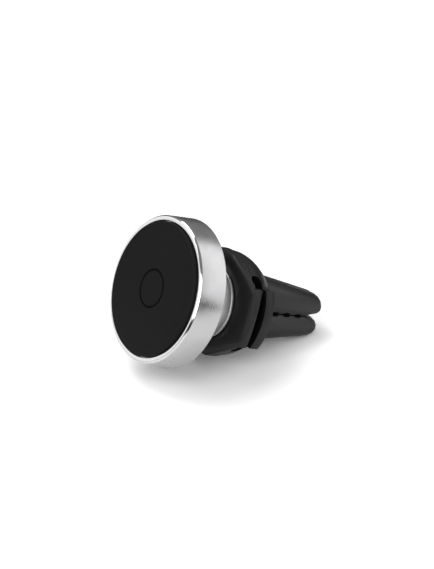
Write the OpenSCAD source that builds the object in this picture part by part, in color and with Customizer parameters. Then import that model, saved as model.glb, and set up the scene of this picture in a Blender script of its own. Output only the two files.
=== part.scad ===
// Magnetic phone mount for a car air vent.
// +Y runs into the vent, +Z is up, and the face that holds the phone looks along -Y.
// The origin is the blade seat: the middle of the gap between the four prongs.

/* [Head] */
// Outside diameter of the metal ring
head_d = 40; // [36:0.5:46]
// Depth of the head, from the ring's lip to the back cover
head_depth = 8.1; // [8:0.1:10]
// Width of the flat lip round the pad
lip_w = 1; // [0.6:0.1:1.6]
// Drop from the lip to the ring's side, along the axis and across it
lip_drop = 0.5; // [0.3:0.1:0.8]
// How much smaller the side is at its front edge than at the back, on the radius
side_draft = 0.5; // [0:0.1:1]
// Thickness of the soft pad
pad_t = 2; // [1.6:0.1:2.4]
// How far the pad stands proud of the lip
pad_proud = 0.8; // [0.4:0.1:1]
// Diameter of one magnet
magnet_d = 8; // [6:0.5:9]
// Thickness of one magnet
magnet_t = 2.6; // [2:0.1:2.8]
// Number of magnets
magnet_count = 6; // [4:1:6]

/* [Ball joint] */
// Diameter of the ball
ball_d = 12; // [11:0.5:13]
// Distance from the ball's centre to the back cover
ball_reach = 15.9; // [15:0.1:20]
// Upward tilt of the head as it is stored
head_tilt = 3.2; // [0:0.1:8]
// Diameter of the stud's neck
neck_d = 5.2; // [4:0.1:5.4]
// Diameter of the journal that the head spins on
journal_d = 6; // [5:0.1:7]
// Running clearance of the journal and the ball, on the radius
run_gap = 0.06; // [0.03:0.01:0.1]
// Outside diameter of the locking collar
collar_d = 19.6; // [19:0.1:22]
// Length of the locking collar
collar_l = 6.3; // [5:0.1:6.4]

/* [Body] */
// Diameter of the body across its round sides
body_d = 32; // [29:0.5:36]
// Height of the body across its flat top and bottom
body_h = 28; // [27:0.2:30]
// Width of the flat top
top_flat = 8; // [6:0.5:10]
// Height of the round sides between the slanted facets
side_h = 16; // [12:0.5:18]
// Radius of the arch across the front face
arch_r = 47; // [40:1:80]
// Depth of the bevel round the front face
bevel_y = 0.55; // [0.3:0.05:0.8]
// Width of the front bevel on the slanted facets
bevel_w = 1; // [0.6:0.1:1.6]
// Width of the front bevel on the flat top and bottom
bevel_top = 2.1; // [0.6:0.1:2.4]
// Width of the front bevel on the round sides
bevel_side = 2.4; // [1:0.1:2.8]
// Thickness of the flange behind the slits
flange_t = 2.7; // [2:0.1:4]
// Width of the slit at its ends
slit_end = 1.2; // [0.8:0.1:1.2]
// Width of the slit at its middle
slit_mid = 2.4; // [1.7:0.1:2.6]
// Diameter of the round hole at each end of a slit
relief_d = 4.1; // [2.4:0.1:4.2]
// Distance of that hole from the middle of its facet
relief_off = 4.6; // [2:0.1:4.6]

/* [Prongs] */
// Length of a prong, from the body to its tip
prong_l = 21.1; // [16:0.1:26]
// Half width of the prongs at the body and near the tip
prong_root_x = 7.3; // [6.5:0.1:7.8]
prong_tip_x = 5.4; // [4.5:0.1:6]
// Half height of the prongs at the body and near the tip
prong_root_z = 8.7; // [7.5:0.1:8.8]
prong_tip_z = 6; // [4.5:0.1:6.6]
// Gap for the blade at the body and near the tip
blade_gap = 1.2; // [1:0.1:2.4]
blade_gap_tip = 1; // [0.8:0.1:1.6]
// Gap between the left and right prongs
side_gap = 1.2; // [0.8:0.1:2]
// Height of a grip tooth
tooth_h = 0.35; // [0.2:0.05:0.4]
// Width of a grip tooth along the prong
tooth_w = 2.2; // [1:0.1:2.4]
// Spacing of the grip teeth
tooth_pitch = 4.3; // [3.4:0.1:5]
// Number of grip teeth on one prong
tooth_count = 4; // [3:1:4]

/* [Hidden] */
$fn = 96;

fit = 0.05;
join = 0.02;
cut = 1;

// Heights in the head are measured forwards from the ball's centre
back_h = ball_reach;
lip_h = back_h + head_depth;
head_r = head_d / 2;
side_front_r = head_r - side_draft;
lip_r = side_front_r - lip_drop * 0.7;
recess_r = lip_r - lip_w;
ledge_t = 0.8;
ledge_w = 1.2;
cover_t = 1.5;
cover_lip_t = 0.8;
cover_lip_w = 1.1;
film_t = 0.2;
yoke_t = 0.8;
carrier_floor = 0.7;
pad_back_h = lip_h + pad_proud - pad_t;
ledge_h = pad_back_h - ledge_t;
bore_r = recess_r - 0.1;
carrier_r = bore_r - fit;
ledge_r = recess_r - ledge_w;
cover_in_h = back_h + cover_t;
cover_lip_r = bore_r + cover_lip_w;
yoke_h = cover_in_h + yoke_t;
magnet_ring_r = carrier_r - magnet_d / 2 - 2;
magnet_gap = 0.1;
hub_r = 6.6;
screw_count = 3;
screw_ring_r = carrier_r - 2.2;
screw_r = 1;
screw_head_r = 1.9;
screw_head_t = 0.9;
screw_l = 4.2;
recess_hex_r = 0.75;
recess_hex_t = 0.6;

ball_r = ball_d / 2;
neck_r = neck_d / 2;
journal_r = journal_d / 2;
shoulder_r = journal_r + 1.2;
shoulder_t = 1;
thrust_gap = 0.1;
washer_t = 0.6;
clip_t = 0.6;
clip_slot_r = journal_r - 0.6;
clip_h = cover_in_h + washer_t + 2 * fit;
journal_end_h = clip_h + clip_t + 0.5;

liner_in_r = ball_r + run_gap;
liner_t = 1.1;
liner_r = liner_in_r + liner_t;
liner_front_deg = 52;
liner_back_deg = 40;
liner_slot_w = 1;
seat_r = liner_r + run_gap;

collar_r = collar_d / 2;
body_r = body_d / 2;
body_top = body_h / 2;
nose_r = collar_r - 1.2;
nose_flange_r = nose_r + 0.95;
collar_bore_r = nose_r + 0.08;
collar_mouth_r = nose_r - 0.5;
collar_lip_t = 1.2;
cavity_r = nose_flange_r + fit;
washer_ring_t = 0.3;

// Places along the clip's axis, with the ball's centre at 0 and the vent side positive
face_y = -4.5;
arch_front_y = -5.5;
shoulder_y = -2.7;
dome_y = -0.7;
slit_y = 1;
flange_y = slit_y + flange_t;
root_y = 8.3;
collar_back_y = face_y - washer_ring_t - fit;
collar_front_y = collar_back_y - collar_l;
nose_front_y = collar_front_y + collar_lip_t + 0.3;
nose_back_y = -1.02;
cup_step_y = 3.9;
cup_back_y = 6.6;
cup_spigot_r = 7.4;
cup_hole_r = 5.07;
groove_t = 1.6;
groove_r = nose_flange_r + 1;
hub_back_y = root_y - 0.35;
seat_lead = 0.85;
tine_hub_r = 6.2;
tine_eye_r = 0.6;
tine_eye_off = 3.2;
dome_power = 1.75;
seat_to_ball = root_y + prong_l / 2 - seat_lead;

prong_gap = 0.1;
prong_y = root_y + prong_gap;
tip_y = root_y + prong_l;
nose_y = tip_y - 2.4;
tine_y = prong_y + 0.4;
tine_end_y = nose_y - 1.5;
tine_root = 3;
tine_tip = 1.8;

// --- helpers ---

// Everything is drawn round the ball's centre and moved so that the blade seat is at the origin
module placed()
    translate([0, -seat_to_ball, 0])
        children();

// The head is drawn in line with the clip and then tilted about the ball
module tilted()
    placed()
        rotate([-head_tilt, 0, 0])
            children();

// Turns a profile of [radius, height forwards] about the axis
module turned()
    rotate([90, 0, 0])
        rotate_extrude()
            children();

module ring_between(r_in, r_out, h0, h1)
    turned()
        translate([r_in, h0])
            square([r_out - r_in, h1 - h0]);

module disc_between(r, h0, h1)
    translate([0, -h0, 0])
        rotate([90, 0, 0])
            cylinder(r = r, h = h1 - h0);

// Draws a flat outline in X and Z and gives it depth from y0 to y1
module along_y(y0, y1)
    translate([0, y1, 0])
        rotate([90, 0, 0])
            linear_extrude(y1 - y0)
                children();

module round_places(count, r, first = 0)
    for (i = [0 : count - 1])
        rotate([0, first + i * 360 / count, 0])
            translate([r, 0, 0])
                children();

// --- head ---

module front_pad() {
    pad_r = recess_r - 0.3;
    edge = 0.35;
    color([0.09, 0.09, 0.1])
        tilted()
            turned()
                polygon([
                    [0, pad_back_h],
                    [pad_r, pad_back_h],
                    [pad_r, pad_back_h + pad_t - edge],
                    [pad_r - edge, pad_back_h + pad_t],
                    [0, pad_back_h + pad_t]
                ]);
}

module pad_film()
    color([0.8, 0.75, 0.6])
        tilted()
            disc_between(ledge_r - 0.2, pad_back_h - film_t, pad_back_h);

module head_ring() {
    rear_edge = 0.25;
    color([0.78, 0.78, 0.8])
        tilted()
            turned()
                polygon([
                    [cover_lip_r + fit, back_h],
                    [head_r - rear_edge, back_h],
                    [head_r, back_h + rear_edge],
                    [side_front_r, lip_h - lip_drop],
                    [lip_r, lip_h],
                    [recess_r, lip_h],
                    [recess_r, pad_back_h],
                    [ledge_r, pad_back_h],
                    [ledge_r, ledge_h],
                    [bore_r, ledge_h],
                    [bore_r, back_h + cover_lip_t + join],
                    [cover_lip_r + fit, back_h + cover_lip_t + join]
                ]);
}

module magnet_carrier() {
    carrier_h = ledge_h - join;
    front_h = pad_back_h - film_t - join;
    pocket_h = yoke_h + magnet_t + magnet_gap;
    color([0.15, 0.15, 0.16])
        tilted()
            difference() {
                union() {
                    disc_between(carrier_r, yoke_h + join, carrier_h);
                    disc_between(ledge_r - fit, yoke_h + join, max(front_h, pocket_h + carrier_floor));
                }
                round_places(magnet_count, magnet_ring_r)
                    disc_between(magnet_d / 2 + magnet_gap, yoke_h - cut, pocket_h);
                disc_between(hub_r, yoke_h - cut, journal_end_h + 0.3);
                round_places(screw_count, screw_ring_r, 180 / magnet_count)
                    disc_between(screw_r + join, yoke_h - cut, back_h + screw_l + 0.3);
            }
}

module magnets()
    color([0.7, 0.71, 0.73])
        tilted()
            round_places(magnet_count, magnet_ring_r)
                disc_between(magnet_d / 2, yoke_h + join, yoke_h + join + magnet_t);

module yoke_plate()
    color([0.55, 0.56, 0.58])
        tilted()
            difference() {
                disc_between(carrier_r - 0.2, cover_in_h + join, yoke_h);
                disc_between(hub_r, cover_in_h - cut, yoke_h + cut);
                round_places(screw_count, screw_ring_r, 180 / magnet_count)
                    disc_between(screw_r + 0.1, cover_in_h - cut, yoke_h + cut);
            }

module rear_cover() {
    boss_r = shoulder_r + 1.4;
    color([0.12, 0.12, 0.13])
        tilted()
            difference() {
                union() {
                    disc_between(cover_lip_r, back_h, back_h + cover_lip_t);
                    disc_between(carrier_r, back_h, cover_in_h);
                    disc_between(boss_r, back_h - 0.6, back_h + fit);
                }
                disc_between(journal_r + run_gap, back_h - cut - 0.6, cover_in_h + cut);
                round_places(screw_count, screw_ring_r, 180 / magnet_count) {
                    disc_between(screw_r + 0.1, back_h - cut, cover_in_h + cut);
                    disc_between(screw_head_r + 0.1, back_h - cut, back_h + screw_head_t);
                }
            }
}

module cover_screws()
    color([0.3, 0.3, 0.32])
        tilted()
            round_places(screw_count, screw_ring_r, 180 / magnet_count)
                difference() {
                    union() {
                        disc_between(screw_head_r, back_h + join, back_h + screw_head_t - join);
                        disc_between(screw_r, back_h + screw_head_t / 2, back_h + screw_l);
                    }
                    translate([0, -back_h - recess_hex_t, 0])
                        rotate([-90, 0, 0])
                            cylinder(r = recess_hex_r, h = recess_hex_t + cut, $fn = 6);
                }

// --- stud and ball ---

module ball_stud() {
    shoulder_h = back_h - 0.6 - thrust_gap;
    color([0.62, 0.62, 0.64])
        tilted()
            union() {
                sphere(r = ball_r);
                disc_between(neck_r, 0, shoulder_h);
                disc_between(shoulder_r, shoulder_h - shoulder_t, shoulder_h);
                disc_between(journal_r, shoulder_h - cut, clip_h);
                disc_between(clip_slot_r, clip_h - cut, journal_end_h);
                disc_between(journal_r, clip_h + clip_t, journal_end_h);
            }
}

module stud_clip()
    color([0.4, 0.4, 0.42])
        tilted()
            difference() {
                ring_between(clip_slot_r + join, journal_r + 1.3, clip_h + join, clip_h + clip_t - join);
                translate([0, -clip_h, journal_r])
                    cube([2 * clip_slot_r * 0.8, 4 * clip_t, 2 * journal_r], center = true);
            }

module wave_washer()
    color([0.72, 0.72, 0.74])
        tilted()
            ring_between(journal_r + 0.1, journal_r + 1.9, cover_in_h + fit, cover_in_h + fit + washer_t);

module ball_liner() {
    far = 2 * liner_r;
    color([0.85, 0.85, 0.8])
        placed()
            difference() {
                turned()
                    difference() {
                        intersection() {
                            circle(r = liner_r);
                            translate([0, -far])
                                square([far, 2 * far]);
                        }
                        circle(r = liner_in_r);
                        polygon([
                            [0, 0],
                            [far * sin(liner_front_deg), far * cos(liner_front_deg)],
                            [0, far]
                        ]);
                        polygon([
                            [0, 0],
                            [far * sin(liner_back_deg), -far * cos(liner_back_deg)],
                            [0, -far]
                        ]);
                    }
                for (a = [45, 135, 225, 315])
                    rotate([0, a, 0])
                        translate([0, -far - 1.5, -liner_slot_w / 2])
                            cube([far, far, liner_slot_w]);
            }
}

// --- socket ---

module lock_collar() {
    rim = 0.3;
    groove_in = 0.2;
    groove_w = 0.35;
    front_h = -collar_front_y;
    back = -collar_back_y;
    color([0.8, 0.8, 0.82])
        placed()
            turned()
                polygon([
                    [collar_bore_r, back],
                    [collar_r - rim / 2, back],
                    [collar_r, back + rim / 2],
                    [collar_r, back + 2 * rim],
                    [collar_r - groove_in, back + 2 * rim],
                    [collar_r - groove_in, back + 2 * rim + groove_w],
                    [collar_r, back + 2 * rim + groove_w],
                    [collar_r - 0.1, front_h - 2 * rim],
                    [collar_r - 2 * rim, front_h],
                    [collar_mouth_r + 0.3, front_h],
                    [collar_mouth_r, front_h - collar_lip_t],
                    [collar_bore_r, front_h - collar_lip_t]
                ]);
}

module collar_washer()
    color([0.06, 0.06, 0.06])
        placed()
            ring_between(nose_r + 0.1, cavity_r + 0.1, -face_y + join, -face_y + washer_ring_t);

// Threaded nose: the collar squeezes its fingers on to the liner
module socket_nose() {
    seat_edge = 4.6;
    seat_edge_r = sqrt(seat_r * seat_r - seat_edge * seat_edge);
    finger_slot = 1;
    front_h = -nose_front_y;
    back_h_nose = -nose_back_y;
    color([0.1, 0.1, 0.11])
        placed()
            difference() {
                turned()
                    difference() {
                        union() {
                            translate([0, back_h_nose])
                                square([nose_flange_r, 1.6]);
                            translate([0, back_h_nose])
                                square([nose_r, front_h - back_h_nose]);
                        }
                        circle(r = seat_r);
                        polygon([
                            [0, seat_edge],
                            [seat_edge_r, seat_edge],
                            [collar_mouth_r - 0.5, front_h],
                            [collar_mouth_r - 0.5, front_h + cut],
                            [0, front_h + cut]
                        ]);
                    }
                for (a = [0, 60, 120])
                    rotate([0, a, 0])
                        translate([-collar_d, nose_front_y - cut, -finger_slot / 2])
                            cube([2 * collar_d, face_y - nose_front_y + cut, finger_slot]);
            }
}

module socket_cup()
    color([0.14, 0.14, 0.15])
        placed()
            turned()
                difference() {
                    union() {
                        translate([0, -cup_step_y])
                            square([nose_flange_r, cup_step_y + 1]);
                        translate([0, -groove_t / 2])
                            square([groove_r, groove_t]);
                        translate([0, -cup_back_y])
                            square([cup_spigot_r, cup_back_y]);
                    }
                    circle(r = seat_r);
                    translate([0, -cup_back_y - cut])
                        square([cup_hole_r, cup_back_y + 2 * cut]);
                }

// --- clip body ---

facet_dx = side_x() - top_flat / 2;
facet_dz = body_top - side_h / 2;
facet_angle = atan2(facet_dx, facet_dz);
facet_dist = side_x() * cos(facet_angle) + side_h / 2 * sin(facet_angle);

function side_x() = sqrt(body_r * body_r - side_h * side_h / 4);

// Front outline: round sides, a flat top and bottom, and four slanted facets
module body_outline()
    intersection() {
        circle(r = body_r);
        square([4 * body_r, body_h], center = true);
        for (a = [facet_angle, -facet_angle])
            rotate(a)
                square([2 * facet_dist, 4 * body_r], center = true);
    }

// Where the arched front face lies at a distance x from the middle
function arch_y(x) = arch_front_y + arch_r - sqrt(arch_r * arch_r - x * x);

// Radius of the rounded back of the body, which runs down to the prongs
function dome_r(y) =
    let (front_r = body_top + 0.1, t = (y - dome_y) / (root_y - dome_y))
    front_r - (front_r - prong_root_z - 0.2) * pow(t, dome_power);

module dome_profile() {
    steps = 8;
    polygon([
        [0, -root_y],
        for (i = [steps : -1 : 0])
            let (y = dome_y + i * (root_y - dome_y) / steps)
            [dome_r(y), -y],
        [dome_r(dome_y) + 1.4, -shoulder_y],
        [0, -shoulder_y]
    ]);
}

// What the front bevels take away: sides, top and bottom, and facets
module front_bevels() {
    far = 3;
    side_in_x = body_r - bevel_side;
    chord = sqrt(facet_dx * facet_dx + facet_dz * facet_dz);
    lean = atan2(arch_y(side_x()) - arch_y(top_flat / 2), chord);
    corner_t = side_x() * sin(facet_angle) - side_h / 2 * cos(facet_angle);
    for (left = [0, 1], low = [0, 1])
        mirror([left, 0, 0])
            mirror([0, 0, low]) {
                linear_extrude(body_h, center = true)
                    polygon([
                        [side_in_x, arch_y(side_in_x)],
                        [body_r + 1, arch_y(side_in_x) + 0.44 * (bevel_side + 1)],
                        [body_r + 1, arch_front_y - far],
                        [side_in_x, arch_front_y - far]
                    ]);
                rotate([90, 0, 90])
                    linear_extrude(body_d, center = true)
                        polygon([
                            [arch_front_y, body_top - bevel_top],
                            [arch_front_y + bevel_y, body_top],
                            [arch_front_y + bevel_y, body_top + far],
                            [arch_front_y - far, body_top + far],
                            [arch_front_y - far, body_top - bevel_top]
                        ]);
                rotate([0, -facet_angle, 0])
                    translate([facet_dist, arch_y(side_x()), -corner_t])
                        rotate([lean, 0, 0])
                            linear_extrude(body_d, center = true)
                                polygon([
                                    [-bevel_w, 0],
                                    [0, bevel_y],
                                    [far, bevel_y],
                                    [far, -far],
                                    [-bevel_w, -far]
                                ]);
            }
}

module front_block()
    difference() {
        intersection() {
            along_y(arch_front_y, slit_y)
                body_outline();
            translate([0, arch_front_y + arch_r, 0])
                cylinder(r = arch_r, h = 2 * body_h, center = true, $fn = 360);
        }
        front_bevels();
    }

// Lens-shaped slit, straight at the back and bowed forwards at the front
module slit_outline() {
    half = side_h / 2;
    bow = slit_mid - slit_end;
    bow_r = (half * half + bow * bow) / (2 * bow);
    intersection() {
        translate([slit_y - slit_mid + bow_r, 0])
            circle(r = bow_r);
        translate([slit_y - slit_mid - cut, -half - 0.4])
            square([slit_mid + cut, side_h + 0.8]);
    }
}

module side_cuts() {
    slit_in_x = groove_r + 0.5;
    relief_depth = 3.2;
    for (side = [0, 180])
        rotate([0, 0, side])
            mirror([0, side / 180, 0]) {
                translate([slit_in_x, 0, 0])
                    rotate([90, 0, 90])
                        linear_extrude(body_r)
                            slit_outline();
                for (up = [-1, 1])
                    rotate([0, -up * facet_angle, 0])
                        translate([facet_dist - relief_depth, -0.3, -up * relief_off])
                            rotate([0, 90, 0])
                                cylinder(r = relief_d / 2, h = relief_depth + cut);
            }
}

module clip_body() {
    color([0.11, 0.11, 0.115])
        placed()
            difference() {
                union() {
                    difference() {
                        front_block();
                        along_y(shoulder_y, root_y)
                            difference() {
                                square(4 * body_r, center = true);
                                translate([-2 * body_r, -side_h / 2])
                                    square([4 * body_r, side_h]);
                            }
                    }
                    intersection() {
                        turned()
                            dome_profile();
                        along_y(shoulder_y, root_y)
                            body_outline();
                    }
                    along_y(slit_y - cut, flange_y)
                        intersection() {
                            circle(r = body_r);
                            square([4 * body_r, side_h], center = true);
                        }
                }
                side_cuts();
                disc_between(collar_r + 0.4, -face_y, -arch_front_y + cut);
                disc_between(cavity_r, -cup_step_y - fit, -face_y + cut);
                disc_between(groove_r + fit, -groove_t / 2 - fit, groove_t / 2 + fit);
                disc_between(cup_spigot_r + fit, -cup_back_y - fit, 0);
                disc_between(tine_hub_r + fit, -hub_back_y - fit, -cup_back_y);
            }
}

module tine_hub()
    color([0.2, 0.2, 0.21])
        placed()
            difference() {
                disc_between(tine_hub_r, -hub_back_y, -cup_back_y - fit);
                for (x = [-1, 1], z = [-1, 1])
                    translate([x * tine_eye_off, 0, z * tine_eye_off])
                        disc_between(tine_eye_r, -root_y, 0);
            }

// --- prongs ---

// Section of the upper right prong, from half widths and the gap
module prong_section(half_x, half_z, gap) {
    crease_z = 2.05;
    z0 = gap / 2;
    x0 = side_gap / 2;
    polygon([
        [x0, z0],
        [half_x - 0.8, z0],
        [half_x, crease_z],
        [half_x - 0.15, half_z * 0.6],
        [half_x * 0.87, half_z * 0.8],
        [half_x * 0.66, half_z * 0.94],
        [half_x * 0.4, half_z * 0.99],
        [x0, half_z]
    ]);
}

module prong_shell() {
    hull() {
        along_y(prong_y, prong_y + join)
            prong_section(prong_root_x, prong_root_z, blade_gap);
        along_y(nose_y - join, nose_y)
            prong_section(prong_tip_x, prong_tip_z, blade_gap_tip);
    }
    hull() {
        along_y(nose_y - join, nose_y)
            prong_section(prong_tip_x, prong_tip_z, blade_gap_tip);
        translate([side_gap / 2, nose_y, prong_tip_z * 0.5])
            cube([prong_tip_x - 1.2, tip_y - nose_y, prong_tip_z * 0.26]);
    }
}

module prong_teeth() {
    first_y = prong_y + 1;
    root_reach = 1;
    for (i = [0 : tooth_count - 1]) {
        y = first_y + i * tooth_pitch;
        t = (y - prong_y) / (nose_y - prong_y);
        z = (blade_gap + t * (blade_gap_tip - blade_gap)) / 2;
        x1 = prong_root_x + t * (prong_tip_x - prong_root_x) - 0.9;
        translate([side_gap / 2, y, z - tooth_h])
            cube([x1 - side_gap / 2, tooth_w, tooth_h + root_reach]);
    }
}

module tine_bar(gap) {
    root_x = (prong_root_x + side_gap / 2) / 2;
    root_z = prong_root_z / 2;
    tip_x = (prong_tip_x + side_gap / 2) / 2;
    tip_z = prong_tip_z / 2;
    hull() {
        translate([root_x, tine_y - gap, root_z])
            cube([tine_root + 2 * gap, join, tine_root + 2 * gap], center = true);
        translate([tip_x, tine_end_y + gap, tip_z])
            cube([tine_tip + 2 * gap, join, tine_tip + 2 * gap], center = true);
    }
}

// Puts the upper right prong's shape in any of the four corners
module corner(right, upper)
    placed()
        mirror([right ? 0 : 1, 0, 0])
            mirror([0, 0, upper ? 0 : 1])
                children();

module grip(right, upper)
    color([0.13, 0.13, 0.135])
        corner(right, upper)
            difference() {
                union() {
                    prong_shell();
                    prong_teeth();
                }
                tine_bar(join);
            }

module tine(right, upper)
    color([0.25, 0.25, 0.26])
        corner(right, upper)
            tine_bar(0);

front_pad();
pad_film();
head_ring();
magnet_carrier();
magnets();
yoke_plate();
rear_cover();
cover_screws();
ball_stud();
stud_clip();
wave_washer();
ball_liner();
lock_collar();
collar_washer();
socket_nose();
socket_cup();
clip_body();
tine_hub();
grip(true, true);  // grip_upper_right
grip(false, true);  // grip_upper_left
grip(true, false);  // grip_lower_right
grip(false, false);  // grip_lower_left
tine(true, true);  // tine_upper_right
tine(false, true);  // tine_upper_left
tine(true, false);  // tine_lower_right
tine(false, false);  // tine_lower_left
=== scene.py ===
import bpy
import math
from mathutils import Matrix, Vector


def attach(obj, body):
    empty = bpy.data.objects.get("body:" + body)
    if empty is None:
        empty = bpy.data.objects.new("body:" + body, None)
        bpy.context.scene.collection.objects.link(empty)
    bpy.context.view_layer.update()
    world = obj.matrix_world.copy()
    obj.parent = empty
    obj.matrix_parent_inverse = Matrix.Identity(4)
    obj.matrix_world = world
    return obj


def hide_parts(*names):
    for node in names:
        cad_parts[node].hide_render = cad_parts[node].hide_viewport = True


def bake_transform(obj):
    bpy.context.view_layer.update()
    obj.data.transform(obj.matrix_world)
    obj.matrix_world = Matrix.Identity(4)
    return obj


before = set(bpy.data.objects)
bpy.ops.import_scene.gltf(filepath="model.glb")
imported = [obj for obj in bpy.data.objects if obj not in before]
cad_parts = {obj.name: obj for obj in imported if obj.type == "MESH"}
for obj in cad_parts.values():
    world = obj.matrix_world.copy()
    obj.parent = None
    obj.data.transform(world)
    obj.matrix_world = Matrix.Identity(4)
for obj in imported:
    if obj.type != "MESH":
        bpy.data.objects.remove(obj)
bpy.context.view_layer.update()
mm = 0.001
ballSpot = (0, -0.018, 0)      # centre of the ball, behind the head
headTilt = 3.2                 # degrees the head looks upwards


def clearSelection():
    if bpy.context.mode != "OBJECT":
        bpy.ops.object.mode_set(mode="OBJECT")
    bpy.ops.object.select_all(action="DESELECT")


def pick(piece):
    clearSelection()
    piece.select_set(True)
    bpy.context.view_layer.objects.active = piece


def settle(piece):
    pick(piece)
    bpy.ops.object.transform_apply(location=True, rotation=True, scale=True)


def cleanUp(piece, gap=0.0005):
    pick(piece)
    bpy.ops.object.mode_set(mode="EDIT")
    bpy.ops.mesh.select_all(action="SELECT")
    bpy.ops.mesh.remove_doubles(threshold=gap * mm)
    bpy.ops.mesh.normals_make_consistent(inside=False)
    bpy.ops.object.mode_set(mode="OBJECT")


def smoothBy(piece, angle=35):
    pick(piece)
    bpy.ops.object.shade_smooth_by_angle(angle=math.radians(angle))


def addModifier(piece, kind, **settings):
    pick(piece)
    modifier = piece.modifiers.new(kind.lower(), kind)
    for name, value in settings.items():
        setattr(modifier, name, value)
    bpy.ops.object.modifier_apply(modifier=modifier.name)


def softenEdges(piece, width, steps=2, angle=30):
    addModifier(piece, "BEVEL", width=width * mm, segments=steps, limit_method="ANGLE",
                angle_limit=math.radians(angle), use_clamp_overlap=True, miter_outer="MITER_ARC")


def carve(piece, other, how="DIFFERENCE"):
    addModifier(piece, "BOOLEAN", operation=how, object=other, solver="EXACT")
    bpy.data.objects.remove(other, do_unlink=True)


def turnedPiece(name, profile, steps=160, ring=True):
    # profile is (radius, height) in mm, round the local Z axis
    clearSelection()
    radius, height = profile[0]
    bpy.ops.mesh.primitive_circle_add(vertices=steps, radius=radius * mm, location=(0, 0, height * mm),
                                      fill_type="NOTHING" if ring else "NGON")
    piece = bpy.context.object
    piece.name = name
    settle(piece)
    bpy.ops.object.mode_set(mode="EDIT")
    bpy.ops.mesh.select_mode(type="EDGE")
    bpy.ops.mesh.select_all(action="SELECT")
    points = profile[1:] + (profile[:1] if ring else [])
    for newRadius, newHeight in points:
        bpy.ops.mesh.extrude_edges_move(TRANSFORM_OT_translate={"value": (0, 0, (newHeight - height) * mm)})
        grow = newRadius / radius
        bpy.ops.transform.resize(value=(grow, grow, 1), center_override=(0, 0, newHeight * mm))
        radius, height = newRadius, newHeight
    if not ring:
        bpy.ops.mesh.edge_face_add()
    cleanUp(piece)
    return piece


def onClipAxis(piece):
    # local Z becomes forwards, away from the vent
    piece.rotation_euler = (math.radians(90), 0, 0)
    piece.location = ballSpot
    settle(piece)
    return piece


def onHeadAxis(piece):
    piece.rotation_euler = (math.radians(90 - headTilt), 0, 0)
    piece.location = ballSpot
    settle(piece)
    return piece


def cutAway(piece, point, normal):
    # keeps what lies behind the plane
    pick(piece)
    bpy.ops.object.mode_set(mode="EDIT")
    bpy.ops.mesh.select_all(action="SELECT")
    bpy.ops.mesh.bisect(plane_co=point, plane_no=normal, use_fill=True, clear_outer=True, threshold=1e-7)
    bpy.ops.object.mode_set(mode="OBJECT")


def boxPiece(name, low, high):
    clearSelection()
    low, high = Vector(low) * mm, Vector(high) * mm
    bpy.ops.mesh.primitive_cube_add(size=1, location=(low + high) / 2, scale=high - low)
    piece = bpy.context.object
    piece.name = name
    settle(piece)
    return piece


def newMaterial(name):
    material = bpy.data.materials.new(name)
    material.use_nodes = True
    return material, material.node_tree, material.node_tree.nodes["Principled BSDF"]


def addNode(tree, kind, **settings):
    node = tree.nodes.new("ShaderNode" + kind)
    for name, value in settings.items():
        if hasattr(node, name):
            setattr(node, name, value)
        else:
            node.inputs[name.replace("_", " ")].default_value = value
    return node


def localSpace(tree, tilt=None):
    # object coordinates, or the same seen from the head's or the clip's own axis
    place = addNode(tree, "TexCoord")
    if tilt is None:
        return place.outputs["Object"]
    turn = addNode(tree, "Mapping", vector_type="TEXTURE")
    turn.inputs["Location"].default_value = ballSpot
    turn.inputs["Rotation"].default_value = (math.radians(90 - tilt), 0, 0)
    tree.links.new(place.outputs["Object"], turn.inputs["Vector"])
    return turn.outputs["Vector"]


def mixColour(tree, factor, dark, light):
    ramp = addNode(tree, "ValToRGB")
    ramp.color_ramp.elements[0].color = (*dark, 1)
    ramp.color_ramp.elements[1].color = (*light, 1)
    tree.links.new(factor, ramp.inputs["Fac"])
    return ramp


def mapValue(tree, factor, low, high, fromLow=0.0, fromHigh=1.0):
    remap = addNode(tree, "MapRange", From_Min=fromLow, From_Max=fromHigh, To_Min=low, To_Max=high)
    tree.links.new(factor, remap.inputs["Value"])
    return remap.outputs["Result"]


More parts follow.
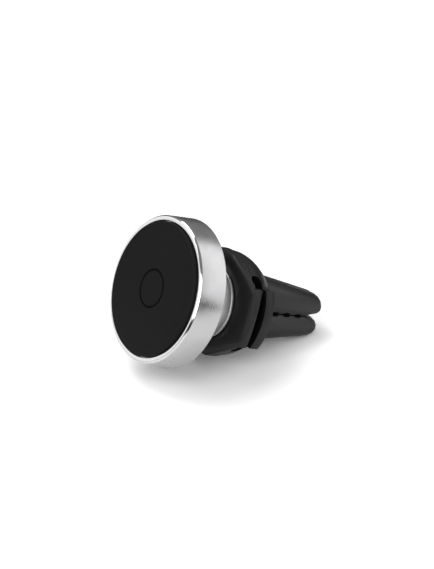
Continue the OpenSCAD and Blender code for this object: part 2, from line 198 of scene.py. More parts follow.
def brushedMetal(name, tilt, look):
    # fine turning lines that follow the radius and the height, with faint smudges
    material, tree, shader = newMaterial(name)
    space = localSpace(tree, tilt)
    split = addNode(tree, "SeparateXYZ")
    tree.links.new(space, split.inputs["Vector"])
    flat = addNode(tree, "CombineXYZ")
    tree.links.new(split.outputs["X"], flat.inputs["X"])
    tree.links.new(split.outputs["Y"], flat.inputs["Y"])
    radius = addNode(tree, "VectorMath", operation="LENGTH")
    tree.links.new(flat.outputs["Vector"], radius.inputs[0])
    reach = addNode(tree, "Math", operation="ADD")
    tree.links.new(radius.outputs["Value"], reach.inputs[0])
    tree.links.new(split.outputs["Z"], reach.inputs[1])
    fine = addNode(tree, "Math", operation="MULTIPLY")
    fine.inputs[1].default_value = look["lines"]
    tree.links.new(reach.outputs["Value"], fine.inputs[0])
    across = addNode(tree, "VectorMath", operation="SCALE", Scale=look["streak"])
    tree.links.new(flat.outputs["Vector"], across.inputs[0])
    bits = addNode(tree, "SeparateXYZ")
    tree.links.new(across.outputs["Vector"], bits.inputs["Vector"])
    lined = addNode(tree, "CombineXYZ")
    tree.links.new(bits.outputs["X"], lined.inputs["X"])
    tree.links.new(bits.outputs["Y"], lined.inputs["Y"])
    tree.links.new(fine.outputs["Value"], lined.inputs["Z"])
    brush = addNode(tree, "TexNoise", Scale=1.0, Detail=5.0, Roughness=0.62)
    tree.links.new(lined.outputs["Vector"], brush.inputs["Vector"])
    smudge = addNode(tree, "TexNoise", Scale=260.0, Detail=3.0, Roughness=0.5)
    tree.links.new(space, smudge.inputs["Vector"])
    tone = mixColour(tree, brush.outputs["Fac"], look["dark"], look["light"])
    tree.links.new(tone.outputs["Color"], shader.inputs["Base Color"])
    rough = mapValue(tree, brush.outputs["Fac"], look["rough"][0], look["rough"][1], 0.25, 0.75)
    worn = addNode(tree, "Math", operation="MULTIPLY")
    tree.links.new(rough, worn.inputs[0])
    tree.links.new(mapValue(tree, smudge.outputs["Fac"], 0.88, 1.14, 0.3, 0.7), worn.inputs[1])
    tree.links.new(worn.outputs["Value"], shader.inputs["Roughness"])
    bump = addNode(tree, "Bump", Strength=look["bump"], Distance=0.00004)
    tree.links.new(brush.outputs["Fac"], bump.inputs["Height"])
    tree.links.new(bump.outputs["Normal"], shader.inputs["Normal"])
    shader.inputs["Metallic"].default_value = 1.0
    return material


def mouldedPlastic(name, look, tilt=None):
    # fine spark-eroded grain, faint flow marks and paler rubbed patches
    material, tree, shader = newMaterial(name)
    space = localSpace(tree, tilt)
    grain = addNode(tree, "TexNoise", Scale=look["grain"], Detail=3.0, Roughness=0.55)
    tree.links.new(space, grain.inputs["Vector"])
    pits = addNode(tree, "TexVoronoi", Scale=look["grain"] * 0.6)
    tree.links.new(space, pits.inputs["Vector"])
    patch = addNode(tree, "TexNoise", Scale=look["patch"], Detail=2.0)
    tree.links.new(space, patch.inputs["Vector"])
    tone = mixColour(tree, patch.outputs["Fac"], look["dark"], look["light"])
    tree.links.new(tone.outputs["Color"], shader.inputs["Base Color"])
    rough = addNode(tree, "Math", operation="ADD")
    tree.links.new(mapValue(tree, patch.outputs["Fac"], look["rough"][0], look["rough"][1], 0.3, 0.7),
                   rough.inputs[0])
    tree.links.new(mapValue(tree, grain.outputs["Fac"], -0.04, 0.04, 0.3, 0.7), rough.inputs[1])
    tree.links.new(rough.outputs["Value"], shader.inputs["Roughness"])
    height = addNode(tree, "Math", operation="ADD")
    tree.links.new(grain.outputs["Fac"], height.inputs[0])
    tree.links.new(mapValue(tree, pits.outputs["Distance"], 0.0, 0.5), height.inputs[1])
    bump = addNode(tree, "Bump", Strength=look["bump"], Distance=0.00003)
    tree.links.new(height.outputs["Value"], bump.inputs["Height"])
    tree.links.new(bump.outputs["Normal"], shader.inputs["Normal"])
    shader.inputs["Specular IOR Level"].default_value = look["shine"]
    return material


def platedSteel(name, look, tilt=None):
    # smooth metal with a cloudy finish
    material, tree, shader = newMaterial(name)
    space = localSpace(tree, tilt)
    cloud = addNode(tree, "TexNoise", Scale=look["cloud"], Detail=6.0, Roughness=0.6)
    tree.links.new(space, cloud.inputs["Vector"])
    tone = mixColour(tree, cloud.outputs["Fac"], look["dark"], look["light"])
    tree.links.new(tone.outputs["Color"], shader.inputs["Base Color"])
    tree.links.new(mapValue(tree, cloud.outputs["Fac"], look["rough"][0], look["rough"][1], 0.3, 0.7),
                   shader.inputs["Roughness"])
    bump = addNode(tree, "Bump", Strength=0.15, Distance=0.00003)
    tree.links.new(cloud.outputs["Fac"], bump.inputs["Height"])
    tree.links.new(bump.outputs["Normal"], shader.inputs["Normal"])
    shader.inputs["Metallic"].default_value = 1.0
    return material


# grain, patch and streak are pattern scales; dark and light are colours; rough is a range
ringLook = {
    "lines": 9000.0, "streak": 40.0, "dark": (0.72, 0.72, 0.73), "light": (0.82, 0.82, 0.83),
    "rough": (0.26, 0.34), "bump": 0.1,
}
polishLook = {
    "lines": 12000.0, "streak": 60.0, "dark": (0.86, 0.86, 0.87), "light": (0.93, 0.93, 0.94),
    "rough": (0.08, 0.15), "bump": 0.08,
}
collarLook = {
    "lines": 7000.0, "streak": 40.0, "dark": (0.84, 0.84, 0.85), "light": (0.92, 0.92, 0.93),
    "rough": (0.42, 0.5), "bump": 0.03,
}
padLook = {
    "grain": 5200.0, "patch": 120.0, "dark": (0.007, 0.007, 0.0075), "light": (0.01, 0.01, 0.0105),
    "rough": (0.62, 0.7), "bump": 0.5, "shine": 0.15,
}
markLook = {
    "grain": 2600.0, "patch": 200.0, "dark": (0.001, 0.001, 0.001), "light": (0.002, 0.002, 0.002),
    "rough": (0.5, 0.6), "bump": 0.05, "shine": 0.05,
}
bodyLook = {
    "grain": 6500.0, "patch": 150.0, "dark": (0.012, 0.012, 0.0125), "light": (0.016, 0.016, 0.0165),
    "rough": (0.32, 0.4), "bump": 0.25, "shine": 0.35,
}
# painted shade: near-black, rough plastic on the inner walls of the slits and holes, standing in for the shade
# that falls inside them
recessShadeLook = {
    "grain": 6500.0, "patch": 150.0, "dark": (0.0015, 0.0015, 0.0015), "light": (0.003, 0.003, 0.003),
    "rough": (0.7, 0.8), "bump": 0.2, "shine": 0.05,
}
gripLook = {
    "grain": 5200.0, "patch": 170.0, "dark": (0.008, 0.008, 0.0085), "light": (0.012, 0.012, 0.0125),
    "rough": (0.34, 0.42), "bump": 0.3, "shine": 0.6,
}
coverLook = {
    "grain": 3600.0, "patch": 110.0, "dark": (0.018, 0.018, 0.019), "light": (0.028, 0.028, 0.03),
    "rough": (0.46, 0.56), "bump": 0.6, "shine": 0.45,
}
innerLook = {
    "grain": 3000.0, "patch": 140.0, "dark": (0.035, 0.035, 0.037), "light": (0.055, 0.055, 0.058),
    "rough": (0.42, 0.5), "bump": 0.3, "shine": 0.5,
}
linerLook = {
    "grain": 2600.0, "patch": 160.0, "dark": (0.66, 0.65, 0.6), "light": (0.76, 0.75, 0.7),
    "rough": (0.36, 0.44), "bump": 0.15, "shine": 0.5,
}
filmLook = {
    "grain": 2400.0, "patch": 220.0, "dark": (0.6, 0.54, 0.4), "light": (0.72, 0.66, 0.5),
    "rough": (0.2, 0.3), "bump": 0.1, "shine": 0.5,
}
washerLook = {
    "grain": 4200.0, "patch": 200.0, "dark": (0.008, 0.008, 0.008), "light": (0.014, 0.014, 0.014),
    "rough": (0.55, 0.65), "bump": 0.4, "shine": 0.4,
}
studLook = {
    "cloud": 900.0, "dark": (0.55, 0.55, 0.57), "light": (0.7, 0.7, 0.72), "rough": (0.16, 0.26),
}
magnetLook = {
    "cloud": 700.0, "dark": (0.6, 0.6, 0.62), "light": (0.75, 0.75, 0.77), "rough": (0.1, 0.2),
}
yokeLook = {
    "cloud": 420.0, "dark": (0.38, 0.39, 0.41), "light": (0.55, 0.56, 0.58), "rough": (0.3, 0.42),
}
screwLook = {
    "cloud": 1800.0, "dark": (0.1, 0.1, 0.105), "light": (0.2, 0.2, 0.21), "rough": (0.3, 0.42),
}
springLook = {
    "cloud": 1500.0, "dark": (0.34, 0.35, 0.37), "light": (0.5, 0.51, 0.53), "rough": (0.24, 0.36),
}

brushedRing = brushedMetal("brushedRing", headTilt, ringLook)
polishedEdge = brushedMetal("polishedEdge", headTilt, polishLook)
satinCollar = brushedMetal("satinCollar", 0, collarLook)
softPad = mouldedPlastic("softPad", padLook, headTilt)
padPrint = mouldedPlastic("padPrint", markLook, headTilt)
satinBody = mouldedPlastic("satinBody", bodyLook)
recessShade = mouldedPlastic("recessShade", recessShadeLook)
softGrip = mouldedPlastic("softGrip", gripLook)
coverPlastic = mouldedPlastic("coverPlastic", coverLook, headTilt)
innerPlastic = mouldedPlastic("innerPlastic", innerLook)
linerPlastic = mouldedPlastic("linerPlastic", linerLook)
filmGlue = mouldedPlastic("filmGlue", filmLook, headTilt)
washerRubber = mouldedPlastic("washerRubber", washerLook)
studSteel = platedSteel("studSteel", studLook, headTilt)
magnetPlate = platedSteel("magnetPlate", magnetLook, headTilt)
yokeSteel = platedSteel("yokeSteel", yokeLook, headTilt)
screwSteel = platedSteel("screwSteel", screwLook, headTilt)
springSteel = platedSteel("springSteel", springLook, headTilt)

nodeFinish = {
    "front_pad": softPad, "pad_film": filmGlue, "head_ring": brushedRing,
    "magnet_carrier": innerPlastic, "magnets": magnetPlate, "yoke_plate": yokeSteel,
    "rear_cover": coverPlastic, "cover_screws": screwSteel, "ball_stud": studSteel,
    "stud_clip": springSteel, "wave_washer": springSteel, "ball_liner": linerPlastic,
    "lock_collar": satinCollar, "collar_washer": washerRubber, "socket_nose": innerPlastic,
    "socket_cup": innerPlastic, "clip_body": satinBody, "tine_hub": innerPlastic,
}
for nodeName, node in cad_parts.items():
    finish = nodeFinish.get(nodeName, softGrip if nodeName.startswith("grip") else innerPlastic)
    if not node.material_slots:
        node.data.materials.append(finish)
    for place in node.material_slots:
        place.material = finish
print("materials ready")


# head ring: a turned aluminium band with a flat lip and polished edges
ringShape = {
    "outside": 20.0, "front": 19.5, "lip": 19.15, "recess": 18.15, "ledge": 16.95, "bore": 18.05,
    "coverSeat": 19.2, "back": 15.9, "rearEdge": 0.25, "sideTop": 23.5, "lipTop": 24.0, "padSeat": 22.8,
    "ledgeBack": 22.0, "seatDepth": 0.82, "edge": 0.07, "polishAbove": 0.02, "steps": 200,
}


def makeRing(shape):
    coverSeatTop = shape["back"] + shape["seatDepth"]
    profile = [
        (shape["coverSeat"], shape["back"]), (shape["outside"] - shape["rearEdge"], shape["back"]),
        (shape["outside"], shape["back"] + shape["rearEdge"]), (shape["front"], shape["sideTop"]),
        (shape["lip"], shape["lipTop"]), (shape["recess"], shape["lipTop"]),
        (shape["recess"], shape["padSeat"]), (shape["ledge"], shape["padSeat"]),
        (shape["ledge"], shape["ledgeBack"]), (shape["bore"], shape["ledgeBack"]),
        (shape["bore"], coverSeatTop), (shape["coverSeat"], coverSeatTop),
    ]
    ring = turnedPiece("ring", profile, shape["steps"])
    softenEdges(ring, shape["edge"], steps=3, angle=25)
    ring.data.materials.append(brushedRing)
    ring.data.materials.append(polishedEdge)
    for face in ring.data.polygons:
        high = face.center.z / mm
        radius = math.hypot(face.center.x, face.center.y) / mm
        frontEdge = high > shape["sideTop"] + shape["polishAbove"]
        rearEdge = high < shape["back"] + shape["rearEdge"] and radius > shape["coverSeat"]
        if frontEdge or rearEdge:
            face.material_index = 1
    onHeadAxis(ring)
    smoothBy(ring, 32)
    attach(ring, "head")
    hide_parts("head_ring")


makeRing(ringShape)
print("ring ready")


# pad: a soft disc with a rounded edge and a plain printed circle
padShape = {
    "radius": 17.85, "back": 22.8, "front": 24.8, "edge": 0.4,
    "markRadius": 5.2, "markWidth": 0.55, "markHeight": 0.02, "markSink": 0.05, "markSteps": 96, "steps": 200,
}


def makePad(shape):
    profile = [(shape["radius"], shape["back"]), (shape["radius"], shape["front"])]
    pad = turnedPiece("pad", profile, shape["steps"], ring=False)
    softenEdges(pad, shape["edge"], steps=5, angle=40)
    pad.data.materials.append(softPad)
    onHeadAxis(pad)
    smoothBy(pad, 30)
    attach(pad, "head")
    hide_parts("front_pad")
    inner, outer = shape["markRadius"] - shape["markWidth"], shape["markRadius"]
    low, high = shape["front"] - shape["markSink"], shape["front"] + shape["markHeight"]
    mark = turnedPiece("padCircle", [(inner, low), (outer, low), (outer, high), (inner, high)],
                       shape["markSteps"])
    mark.data.materials.append(padPrint)
    onHeadAxis(mark)
    smoothBy(mark, 30)
    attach(mark, "head")


makePad(padShape)
print("pad ready")


# locking collar: a small turned nut with a groove by its rear rim
collarShape = {
    "outside": 9.8, "bore": 8.68, "mouth": 8.1, "back": 4.85, "front": 11.15, "rim": 0.3, "grooveIn": 0.2,
    "grooveWide": 0.35, "lip": 1.2, "draft": 0.1, "chamfer": 0.3, "edge": 0.06, "steps": 144,
}


def makeCollar(shape):
    out, back, front, rim = shape["outside"], shape["back"], shape["front"], shape["rim"]
    grooveBack = back + 2 * rim
    grooveFront = back + 2 * rim + shape["grooveWide"]
    profile = [
        (shape["bore"], back), (out - rim / 2, back), (out, back + rim / 2), (out, grooveBack),
        (out - shape["grooveIn"], grooveBack), (out - shape["grooveIn"], grooveFront), (out, grooveFront),
        (out - shape["draft"], front - 2 * rim), (out - 2 * rim, front),
        (shape["mouth"] + shape["chamfer"], front), (shape["mouth"], front - shape["lip"]),
        (shape["bore"], front - shape["lip"]),
    ]
    collar = turnedPiece("collar", profile, shape["steps"])
    softenEdges(collar, shape["edge"], steps=3, angle=20)
    collar.data.materials.append(satinCollar)
    onClipAxis(collar)
    smoothBy(collar, 32)
    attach(collar, "collar")
    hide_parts("lock_collar")


makeCollar(collarShape)
print("collar ready")


# clip body: bevelled front plate, domed back, a slit and a proud flange on each side
bodyShape = {
    "radius": 16.0, "top": 14.0, "topFlat": 4.0, "sideHalf": 8.0, "edge": 0.14,
    "archRadius": 47.0, "archFront": 5.5, "archSpan": 20,
    "bevelDeep": 0.55, "bevelSide": 2.4, "bevelSlope": 0.44, "bevelTop": 2.1, "bevelFacet": 1.0,
    "seat": 4.5, "seatRadius": 10.2, "cavity": 9.6, "cavityDepth": -3.95, "eye": 2.0,
    "coreRadius": 17.5, "coreFront": 7.0, "shoulder": 2.7, "shoulderOut": 1.4,
    "root": -8.3, "rootRadius": 8.9, "domeStart": 0.7, "domeFront": 14.1, "domePower": 1.75, "domeSteps": 22,
    "flangeBack": -3.7, "flangeFront": 5.9, "flangeSide": 18,
    "slitBack": -1.0, "slitEnd": 1.2, "slitMiddle": 2.4, "slitDeep": 11.05, "slitPast": 0.4,
    "holeRadius": 2.05, "holeOff": 4.6, "holeDeep": 3.2, "holeHeight": 0.3, "cutterLength": 8,
    "steps": 180, "archSteps": 720, "slitSteps": 256, "holeSteps": 64, "weld": 0.004,
}

# heights are forwards from the ball, as in the turned pieces; y here is up, and x is to the side


def plateFacet(shape):
    # where the round side ends, and the lean and distance of the slanted facet beside it
    radius, half = shape["radius"], shape["sideHalf"]
    sideX = math.sqrt(radius ** 2 - half ** 2)
    lean = math.atan2(sideX - shape["topFlat"], shape["top"] - half)
    facet = sideX * math.cos(lean) + half * math.sin(lean)
    return sideX, lean, facet


def archHeight(shape, x):
    return shape["archFront"] - shape["archRadius"] + math.sqrt(shape["archRadius"] ** 2 - x * x)


def turnPlate(shape):
    blankFront = shape["archFront"] + 1
    profile = [
        (shape["radius"], blankFront), (shape["radius"], shape["root"]), (shape["eye"], shape["root"]),
        (shape["eye"], shape["cavityDepth"]), (shape["cavity"], shape["cavityDepth"]),
        (shape["cavity"], shape["seat"]), (shape["seatRadius"], shape["seat"]),
        (shape["seatRadius"], blankFront),
    ]
    plate = turnedPiece("clipShell", profile, shape["steps"])
    sideX, lean, facet = plateFacet(shape)
    for up in (1, -1):
        cutAway(plate, (0, up * shape["top"] * mm, 0), (0, up, 0))
        for side in (1, -1):
            out = Vector((side * math.cos(lean), up * math.sin(lean), 0))
            cutAway(plate, out * facet * mm, out)
    return plate


def archFront(plate, shape):
    # the front is arched about the upright axis
    span = shape["archSpan"] * mm
    clearSelection()
    bpy.ops.mesh.primitive_cylinder_add(vertices=shape["archSteps"], radius=shape["archRadius"] * mm,
                                        depth=2 * span, rotation=(math.radians(90), 0, 0),
                                        location=(0, 0, (shape["archFront"] - shape["archRadius"]) * mm))
    arch = bpy.context.object
    settle(arch)
    for way in ((1, 0, 0), (-1, 0, 0), (0, 0, -1)):
        cutAway(arch, Vector(way) * span, way)
    carve(plate, arch, "INTERSECT")


def bevelFront(plate, shape):
    half, deep = shape["sideHalf"], shape["bevelDeep"]
    sideX, lean, facet = plateFacet(shape)
    for up in (1, -1):
        cutAway(plate, Vector((0, up * shape["top"], shape["archFront"] - deep)) * mm,
                Vector((0, up * deep, shape["bevelTop"])).normalized())
        for side in (1, -1):
            sideEnd = Vector((side * sideX, up * half, archHeight(shape, sideX) - deep))
            topHeight = archHeight(shape, shape["topFlat"]) - deep
            topEnd = Vector((side * shape["topFlat"], up * shape["top"], topHeight))
            out = Vector((side * math.cos(lean), up * math.sin(lean), 0))
            inner = sideEnd - out * shape["bevelFacet"] + Vector((0, 0, deep))
            slope = (topEnd - sideEnd).cross(inner - sideEnd).normalized()
            cutAway(plate, sideEnd * mm, slope if slope.z > 0 else -slope)
    inX = shape["radius"] - shape["bevelSide"]
    for side in (1, -1):
        cutAway(plate, Vector((side * inX, 0, archHeight(shape, inX))) * mm,
                Vector((side * shape["bevelSlope"], 0, 1)).normalized())


def narrowBack(plate, shape):
    # the back narrows to the prongs in one curve, but the sides stay out as far as the flange
    dome = []
    for i in range(shape["domeSteps"] + 1):
        part = i / shape["domeSteps"]
        away = shape["domeFront"] - (shape["domeFront"] - shape["rootRadius"]) * part ** shape["domePower"]
        dome.append((away, shape["domeStart"] + (shape["root"] - shape["domeStart"]) * part))
    shoulders = [(shape["coreRadius"], shape["coreFront"]), (shape["coreRadius"], shape["shoulder"]),
                 (shape["domeFront"] + shape["shoulderOut"], shape["shoulder"])]
    core = turnedPiece("core", shoulders + dome, shape["steps"], ring=False)
    flange = boxPiece("flange", (-shape["flangeSide"], -shape["sideHalf"], shape["flangeBack"]),
                      (shape["flangeSide"], shape["sideHalf"], shape["flangeFront"]))
    carve(core, flange, "UNION")
    carve(plate, core, "INTERSECT")


def cutSlit(plate, shape, side):
    # flat at the back and bowed in front
    half, length = shape["sideHalf"], shape["cutterLength"]
    bow = shape["slitMiddle"] - shape["slitEnd"]
    bowRadius = (half * half + bow * bow) / (2 * bow)
    height = shape["slitBack"] + shape["slitMiddle"] - bowRadius
    clearSelection()
    bpy.ops.mesh.primitive_cylinder_add(vertices=shape["slitSteps"], radius=bowRadius * mm, depth=length * mm,
                                        rotation=(0, math.radians(90), 0),
                                        location=(side * (shape["slitDeep"] + length / 2) * mm, 0, height * mm))
    slit = bpy.context.object
    settle(slit)
    cutAway(slit, (0, 0, shape["slitBack"] * mm), (0, 0, -1))
    for up in (1, -1):
        cutAway(slit, (0, up * (half + shape["slitPast"]) * mm, 0), (0, up, 0))
    cleanUp(slit)
    carve(plate, slit)


def drillHole(plate, shape, side, up):
    # a blind hole in the slanted facet
    sideX, lean, facet = plateFacet(shape)
    length = shape["cutterLength"]
    across = Vector((side * math.cos(lean), up * math.sin(lean), 0))
    along = Vector((side * math.sin(lean), -up * math.cos(lean), 0))
    spot = (across * (facet - shape["holeDeep"] + length / 2) + along * shape["holeOff"]
            + Vector((0, 0, shape["holeHeight"])))
    clearSelection()
    bpy.ops.mesh.primitive_cylinder_add(vertices=shape["holeSteps"], radius=shape["holeRadius"] * mm,
                                        depth=length * mm, location=spot * mm)
    hole = bpy.context.object
    hole.rotation_mode = "QUATERNION"
    hole.rotation_quaternion = across.to_track_quat("Z", "Y")
    settle(hole)
    carve(plate, hole)


def inPaintedShade(shape, spot):
    # true on the inner faces of the slits and holes, which take the painted shade
    slack, close, rim, mouth = 0.05, 0.1, 0.2, 0.25
    sideX, lean, facet = plateFacet(shape)
    slitFront = shape["slitBack"] + shape["slitMiddle"]
    if (shape["slitBack"] - slack < spot.z < slitFront + slack and abs(spot.y) < shape["sideHalf"] - rim
            and abs(spot.x) > shape["slitDeep"] - close
            and math.hypot(spot.x, spot.y) < shape["radius"] - rim):
        return True
    across = Vector((math.copysign(math.cos(lean), spot.x), math.copysign(math.sin(lean), spot.y), 0))
    along = Vector((math.copysign(math.sin(lean), spot.x), -math.copysign(math.cos(lean), spot.y), 0))
    centre = along * shape["holeOff"] + Vector((0, 0, shape["holeHeight"]))
    deep = facet - spot.dot(across)
    away = (spot - across * spot.dot(across) - centre).length
    onWall = abs(away - shape["holeRadius"]) < close and mouth < deep < shape["holeDeep"] + close
    onFloor = away < shape["holeRadius"] and abs(deep - shape["holeDeep"]) < close
    return onWall or onFloor


def makeBody(shape):
    plate = turnPlate(shape)
    archFront(plate, shape)
    bevelFront(plate, shape)
    narrowBack(plate, shape)
    for side in (1, -1):
        cutSlit(plate, shape, side)
        for up in (1, -1):
            drillHole(plate, shape, side, up)
    cleanUp(plate, shape["weld"])
    softenEdges(plate, shape["edge"], steps=2, angle=28)
    plate.data.materials.append(satinBody)
    # second slot: painted shade on the inner walls of the slits and holes
    plate.data.materials.append(recessShade)
    for face in plate.data.polygons:
        if inPaintedShade(shape, face.center / mm):
            face.material_index = 1
    onClipAxis(plate)
    smoothBy(plate, 30)
    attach(plate, "clip")
    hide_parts("clip_body")


makeBody(bodyShape)
print("body ready")


# prongs: four tapered fingers with square teeth, one modelled and the others mirrored from it
prongShape = {
    "root": 7.5, "rootLength": 0.9, "full": 27.0, "tip": 29.9, "blockSide": 9, "blockTop": 10,
    "rootX": 7.3, "tipX": 5.4, "rootZ": 8.7, "tipZ": 6.0, "middle": (3.5, 4.0),
    "gap": 1.2, "gapTip": 1.0, "sideGap": 1.2, "crease": 2.05, "creaseIn": 0.8,
    "arcSteps": 8, "square": 0.67,
    "toothStart": 9.4, "toothPitch": 4.3, "toothWidth": 2.2, "toothHeight": 0.35, "teeth": 4, "edge": 0.12,
    "noseCentre": (1.2, 25.9, 2.6), "noseSide": 4.8, "noseUp": 3.6, "noseDown": 2.5, "noseSpare": 0.22,
    "noseRises": (-68, -46, -23, 0, 20, 40, 60, 76), "noseTurns": (0, 22, 44, 66),
    "blendStart": (0, -0.0099, 0), "blendEnd": (0, -0.0059, 0),      # in metres, across the hinge
}


def prongCorners(shape, part):
    # flat below the crease, then round over the top
    halfX = shape["rootX"] + (shape["tipX"] - shape["rootX"]) * part
    halfZ = shape["rootZ"] + (shape["tipZ"] - shape["rootZ"]) * part
    low = (shape["gap"] + (shape["gapTip"] - shape["gap"]) * part) / 2 - shape["toothHeight"]
    inner = shape["sideGap"] / 2
    corners = [(inner, low), (halfX - shape["creaseIn"], low)]
    for i in range(shape["arcSteps"] + 1):
        angle = math.radians(90 * i / shape["arcSteps"])
        corners.append((inner + (halfX - inner) * math.cos(angle) ** shape["square"],
                        shape["crease"] + (halfZ - shape["crease"]) * math.sin(angle) ** shape["square"]))
    return corners


def taperProng(prong, shape, start):
    # a plane for each side of the tapered section
    first, last = prongCorners(shape, 0), prongCorners(shape, 1)
    middle = Vector((shape["middle"][0], start, shape["middle"][1]))
    for i in range(len(first)):
        here, there, ahead = first[i], first[(i + 1) % len(first)], last[i]
        p = Vector((here[0], start, here[1]))
        q = Vector((there[0], start, there[1]))
        r = Vector((ahead[0], shape["full"], ahead[1]))
        normal = (q - p).cross(r - p).normalized()
        if normal.dot(middle - p) > 0:
            normal = -normal
        cutAway(prong, p * mm, normal)


def roundNose(prong, shape):
    # planes that touch an egg-shaped nose, which is flatter underneath
    centre = Vector(shape["noseCentre"])
    for rise in shape["noseRises"]:
        tall = shape["noseUp" if rise > 0 else "noseDown"]
        reach = Vector((shape["noseSide"], shape["tip"] - centre.y, tall))
        for turn in shape["noseTurns"]:
            up, side = math.radians(rise), math.radians(turn)
            way = Vector((math.cos(up) * math.sin(side), math.cos(up) * math.cos(side), math.sin(up)))
            if way.y > shape["noseSpare"]:
                normal = Vector((way.x / reach.x, way.y / reach.y, way.z / reach.z)).normalized()
                cutAway(prong, (centre + way * reach) * mm, normal)


def cutTeeth(prong, shape, start):
    # the teeth are what stands between the valleys
    for i in range(shape["teeth"] - 1):
        low = shape["toothStart"] + shape["toothWidth"] + i * shape["toothPitch"]
        high = low + shape["toothPitch"] - shape["toothWidth"]
        part = (low - start) / (shape["full"] - start)
        half = (shape["gap"] + (shape["gapTip"] - shape["gap"]) * part) / 2
        carve(prong, boxPiece("valley", (-1, low, -1), (shape["blockSide"], high, half)))


def placeFinger(prong, place, right, up):
    finger = prong.copy()
    finger.data = prong.data.copy()
    bpy.context.scene.collection.objects.link(finger)
    finger.name = "finger_" + place
    finger.scale = (right, 1, up)
    settle(finger)
    cleanUp(finger)
    smoothBy(finger, 28)
    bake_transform(finger)
    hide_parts("grip_" + place)


def makeProngs(shape):
    # y counts from the ball into the vent; a block is planed down to the tapered section
    start = shape["root"] + shape["rootLength"]
    prong = boxPiece("prong", (0, shape["root"], 0), (shape["blockSide"], shape["tip"], shape["blockTop"]))
    taperProng(prong, shape, start)
    roundNose(prong, shape)
    cleanUp(prong)
    cutTeeth(prong, shape, start)
    softenEdges(prong, shape["edge"], steps=3, angle=14)
    prong.location = ballSpot
    settle(prong)
    prong.data.materials.append(softGrip)
    places = {"upper_right": (1, 1), "upper_left": (-1, 1), "lower_right": (1, -1), "lower_left": (-1, -1)}
    for place, (right, up) in places.items():
        placeFinger(prong, place, right, up)
    bpy.data.objects.remove(prong, do_unlink=True)


makeProngs(prongShape)
print("prongs ready")


# studio: pale floor, soft light and the camera
studio = {
    "floorPoint": (0, 0.0104, -0.0058), "floorTilt": 21.4, "floorRadius": 0.1,
    "floorTone": 0.85, "floorShown": 1.6,      # the camera sees the floor paler than the other rays do
    "sky": 0.18, "ground": 0.03, "horizon": (0.0, 0.2), "backdrop": 1.05,
    "cameraPlace": (0.40963, -0.34091, 0.10888), "cameraAim": (-0.7740, 0.6017, -0.1971),
    "cameraUp": (-0.3179, -0.1001, 0.9429), "lens": 126.5, "sensor": 36,
    # name: direction from the ball, long side's direction, distance, length, width, brightness
    "panels": {
        "keyPanel": ((-0.45, -0.25, 0.85), (1, 0, 0), 0.45, 0.26, 0.26, 2.0),
        "fillPanel": ((0.66, -0.72, 0.2), (0, 0, 1), 0.6, 0.6, 0.6, 2.7),
        "frontPanel": ((-0.25, -0.62, 0.74), (1, 0, 0), 0.45, 0.26, 0.2, 3.4),
        "rightPanel": ((0.48, 0.6, 0.64), (0.75, 0, -0.7), 0.45, 0.7, 0.26, 0.95),
        "lowPanel": ((-0.75, -0.64, -0.06), (0, 0, 1), 0.4, 0.22, 0.2, 0.8),
    },
}


def floorPaper(setup):
    # pale fibres above, and see-through from below
    paper, tree, shader = newMaterial("palePaper")
    tone = setup["floorTone"]
    fibre = addNode(tree, "TexNoise", Scale=900.0, Detail=4.0)
    tree.links.new(localSpace(tree), fibre.inputs["Vector"])
    sheet = mixColour(tree, fibre.outputs["Fac"], (tone - 0.01,) * 3, (tone,) * 3)
    ray = addNode(tree, "LightPath")
    lift = mapValue(tree, ray.outputs["Is Camera Ray"], 1.0, setup["floorShown"])
    shown = addNode(tree, "VectorMath", operation="SCALE")
    tree.links.new(sheet.outputs["Color"], shown.inputs[0])
    tree.links.new(lift, shown.inputs["Scale"])
    tree.links.new(shown.outputs["Vector"], shader.inputs["Base Color"])
    shader.inputs["Roughness"].default_value = 0.7
    shader.inputs["Specular IOR Level"].default_value = 0.2
    facing = addNode(tree, "NewGeometry")
    clear = addNode(tree, "BsdfTransparent")
    swap = addNode(tree, "MixShader")
    tree.links.new(facing.outputs["Backfacing"], swap.inputs["Fac"])
    tree.links.new(shader.outputs["BSDF"], swap.inputs[1])
    tree.links.new(clear.outputs["BSDF"], swap.inputs[2])
    tree.links.new(swap.outputs["Shader"], tree.nodes["Material Output"].inputs["Surface"])
    return paper


def makeFloor(setup):
    clearSelection()
    bpy.ops.mesh.primitive_circle_add(vertices=128, radius=setup["floorRadius"], fill_type="NGON",
                                      location=setup["floorPoint"],
                                      rotation=(math.radians(setup["floorTilt"]), 0, 0))
    floor = bpy.context.object
    floor.name = "floor"
    settle(floor)
    floor.data.materials.append(floorPaper(setup))


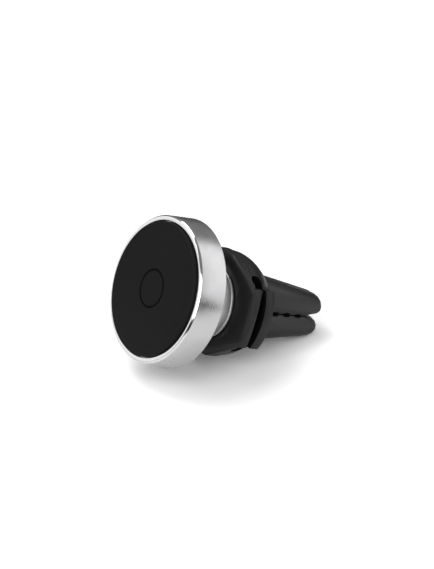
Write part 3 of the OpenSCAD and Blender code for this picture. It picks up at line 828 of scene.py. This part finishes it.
def makeAir(setup):
    # dim light that grows with height over the floor, and a white backdrop for the camera
    world = bpy.data.worlds.new("studioAir")
    world.use_nodes = True
    tree = world.node_tree
    back = tree.nodes["Background"]
    spot = addNode(tree, "TexCoord")
    turn = addNode(tree, "Mapping", vector_type="TEXTURE")
    turn.inputs["Rotation"].default_value = (math.radians(setup["floorTilt"]), 0, 0)
    tree.links.new(spot.outputs["Generated"], turn.inputs["Vector"])
    split = addNode(tree, "SeparateXYZ")
    tree.links.new(turn.outputs["Vector"], split.inputs["Vector"])
    glow = mapValue(tree, split.outputs["Z"], setup["ground"], setup["sky"], *setup["horizon"])
    seen = addNode(tree, "LightPath")
    choose = addNode(tree, "Mix", data_type="FLOAT")
    tree.links.new(seen.outputs["Is Camera Ray"], choose.inputs["Factor"])
    tree.links.new(glow, choose.inputs["A"])
    choose.inputs["B"].default_value = setup["backdrop"]
    tree.links.new(choose.outputs["Result"], back.inputs["Strength"])
    back.inputs["Color"].default_value = (1, 1, 1, 1)
    bpy.context.scene.world = world


def makePanels(setup):
    for name, (aim, along, away, length, width, glowing) in setup["panels"].items():
        light = bpy.data.lights.new(name, "AREA")
        light.shape = "RECTANGLE"
        light.size, light.size_y = length, width
        light.energy = glowing * math.pi * length * width
        panel = bpy.data.objects.new(name, light)
        outward = Vector(aim).normalized()
        across = outward.cross(Vector(along)).normalized()
        turn = Matrix((across.cross(outward), across, outward)).transposed().to_4x4()
        panel.matrix_world = Matrix.Translation(Vector(ballSpot) + outward * away) @ turn
        panel.visible_camera = False
        bpy.context.scene.collection.objects.link(panel)


def makeCamera(setup):
    lens = bpy.data.cameras.new("camera")
    lens.lens = setup["lens"]
    lens.sensor_width = setup["sensor"]
    lens.clip_start = 0.01
    camera = bpy.data.objects.new("camera", lens)
    ahead, up = Vector(setup["cameraAim"]).normalized(), Vector(setup["cameraUp"]).normalized()
    right = ahead.cross(up).normalized()
    up = right.cross(ahead)
    turn = Matrix((right, up, -ahead)).transposed().to_4x4()
    camera.matrix_world = Matrix.Translation(setup["cameraPlace"]) @ turn
    bpy.context.scene.collection.objects.link(camera)
    bpy.context.scene.camera = camera


makeFloor(studio)
makeAir(studio)
makePanels(studio)
makeCamera(studio)
bpy.context.scene.view_settings.view_transform = "Standard"
print("studio ready")
